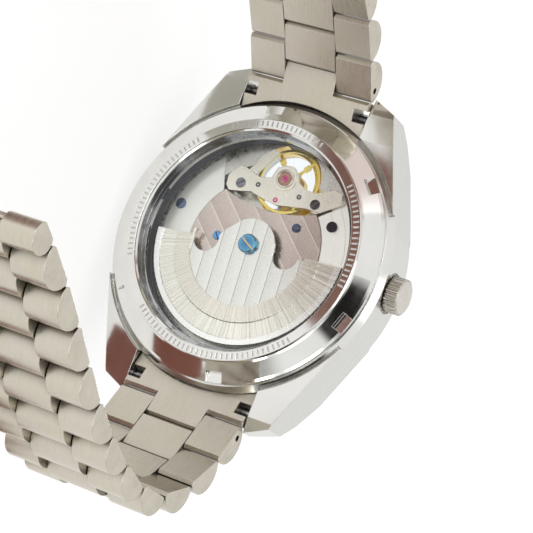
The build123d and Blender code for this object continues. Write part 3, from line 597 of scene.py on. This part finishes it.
# Cards just over the floor: name, colour, corners as (row X, row Y)
CARDS = (
    ("warm_card", (0.19, 0.075, 0.05),
     ((0.004, 0.060), (0.033, 0.049), (0.040, 0.100), (0.0, 0.100))),
    ("lug_card", (0.22, 0.075, 0.05),
     ((-0.058, 0.007), (-0.0158, 0.007), (-0.0158, 0.034), (-0.058, 0.034))),
    ("grey_card", (0.54, 0.53, 0.48),
     ((0.0165, 0.007), (0.070, 0.007), (0.070, 0.030), (0.0165, 0.030))),
)

# Dark places of the room: direction, cosines where they are full and where they end, colour
DARK_PLACES = (
    ((0.87, 0.42, 0.22), 0.955, 0.88, (0.20, 0.07, 0.05)),
    ((-0.09, 0.895, 0.425), 0.984, 0.968, (0.012, 0.010, 0.010)),
    ((-0.82, 0.36, 0.42), 0.955, 0.915, (0.05, 0.045, 0.04)),
    ((-0.55, -0.5, 0.65), 0.985, 0.95, (0.16, 0.15, 0.14)),
)

# Lamps: name, place, target, diameter, watts
LAMPS = (
    ("ceiling", (0.0, 0.1, 0.6), (0.0, 0.02, 0.0), 0.4, 0.5),
    ("window", (-0.35, 0.40, 0.25), (0.0, 0.0, 0.0), 0.25, 0.38),
    ("fill", (0.40, 0.30, 0.10), (0.0, 0.0, 0.0), 0.30, 0.15),
    ("low_front", (0.07, 0.34, 0.02), (0.0, 0.0, 0.0), 0.12, 0.30),
    ("low_side", (-0.30, 0.26, 0.015), (-0.03, 0.03, 0.0), 0.10, 0.10),
)

EYE = (-0.04413, 0.24386, 0.13097)
LOOK = (0.1492, -0.8792, -0.4525)
UP = (0.9164, 0.2948, -0.2707)
SENSOR_MM = 36.0
LENS_IN_SENSOR_WIDTHS = 2000.0 / 533.0

# ---------------------------------------------------------------- floor, light and camera


def flat_sheet(name, corners, height):
    """Level face with its corners at a height."""
    mesh = bpy.data.meshes.new(name)
    mesh.from_pydata([(x, y, height) for x, y in corners], [], [tuple(range(len(corners)))])
    sheet = bpy.data.objects.new(name, mesh)
    bpy.context.scene.collection.objects.link(sheet)
    return sheet


def stage_floor():
    """Wide pale floor under the lowest point, with some light of its own."""
    half = FLOOR_HALF
    corners = ((-half, -half), (half, -half), (half, half), (-half, half))
    floor = flat_sheet("floor", corners, 0.0)
    floor.location = (0.0, 0.0, cad_low.z - FLOOR_DROP)
    tree = Tree("floor_paper")
    fibre = tree.noise(tree.mm, 0.02, 4.0)
    body = tree.mix(fibre, (0.36, 0.36, 0.36), (0.38, 0.38, 0.38))
    paper = tree.surface(body, 0.9, tree.bump(fibre, 0.05, 0.1, tree.normal),
                         Emission_Color=(1.0, 1.0, 1.0, 1.0), Emission_Strength=0.66)
    floor.data.materials.append(paper)


def reflector(name, colour, corners):
    """Card that only reflections see."""
    card = flat_sheet(name, corners, cad_low.z + CARD_LIFT)
    tree = Tree(name + "_cloth")
    weave = tree.noise(tree.mm, 0.03)
    body = tree.mix(weave, tinted(colour, 0.8), tinted(colour, 1.2))
    cloth = tree.surface(body, 0.9, tree.bump(weave, 0.5, 0.2, tree.normal))
    card.data.materials.append(cloth)
    card.visible_camera = False
    card.visible_shadow = False
    card.visible_diffuse = False


def studio_world():
    """Soft white room, dimmer at the horizon, with dark places that only reflections show."""
    world = bpy.data.worlds.new("studio")
    world.use_nodes = True
    tree = world.node_tree
    tree.nodes.clear()
    direction = add_node(tree, "ShaderNodeTexCoord").outputs["Generated"]
    height = add_node(tree, "ShaderNodeSeparateXYZ", {0: direction}).outputs[2]
    lift = add_node(tree, "ShaderNodeMapRange", {
        "Value": height, "From Min": HORIZON[0], "From Max": HORIZON[1],
        "To Min": ROOM[0], "To Max": ROOM[1],
    }, interpolation_type="SMOOTHSTEP").outputs[0]
    room = add_node(tree, "ShaderNodeCombineColor", {0: lift, 1: lift, 2: lift}).outputs[0]
    for facing, inner, outer, colour in DARK_PLACES:
        aim = Vector(facing).normalized()
        along = add_node(tree, "ShaderNodeVectorMath", {0: direction, 1: aim},
                         operation="DOT_PRODUCT").outputs["Value"]
        share = add_node(tree, "ShaderNodeMapRange",
                         {"Value": along, "From Min": outer, "From Max": inner},
                         interpolation_type="SMOOTHSTEP").outputs[0]
        room = add_node(tree, "ShaderNodeMix", {0: share, 6: room, 7: (*colour, 1.0)},
                        data_type="RGBA").outputs[2]
    seen = add_node(tree, "ShaderNodeLightPath").outputs["Is Camera Ray"]
    white = (BACKDROP, BACKDROP, BACKDROP, 1.0)
    room = add_node(tree, "ShaderNodeMix", {0: seen, 6: room, 7: white}, data_type="RGBA").outputs[2]
    back = add_node(tree, "ShaderNodeBackground", {"Color": room, "Strength": 1.0})
    add_node(tree, "ShaderNodeOutputWorld", {"Surface": back.outputs[0]})
    bpy.context.scene.world = world


def area_light(name, place, target, size, power):
    lamp = bpy.data.lights.new(name, "AREA")
    lamp.shape = "DISK"
    lamp.size = size
    lamp.energy = power
    holder = bpy.data.objects.new(name, lamp)
    holder.location = place
    holder.rotation_mode = "QUATERNION"
    holder.rotation_quaternion = (Vector(target) - Vector(place)).to_track_quat("-Z", "Y")
    bpy.context.scene.collection.objects.link(holder)


def make_camera():
    """Camera above the crown side, looking at the case back."""
    look = Vector(LOOK).normalized()
    up = Vector(UP)
    up = (up - up.dot(look) * look).normalized()
    right = look.cross(up)
    camera_data = bpy.data.cameras.new("camera")
    camera_data.sensor_width = SENSOR_MM
    camera_data.lens = LENS_IN_SENSOR_WIDTHS * SENSOR_MM
    camera_data.clip_start = 0.01
    camera_data.clip_end = 20.0
    camera = bpy.data.objects.new("camera", camera_data)
    rows = [(right[i], up[i], -look[i], EYE[i]) for i in range(3)]
    camera.matrix_world = Matrix((*rows, (0.0, 0.0, 0.0, 1.0)))
    bpy.context.scene.collection.objects.link(camera)
    bpy.context.scene.camera = camera


stage_floor()
for card in CARDS:
    reflector(*card)
studio_world()
for lamp in LAMPS:
    area_light(*lamp)
make_camera()

bpy.context.scene.view_settings.view_transform = "Standard"
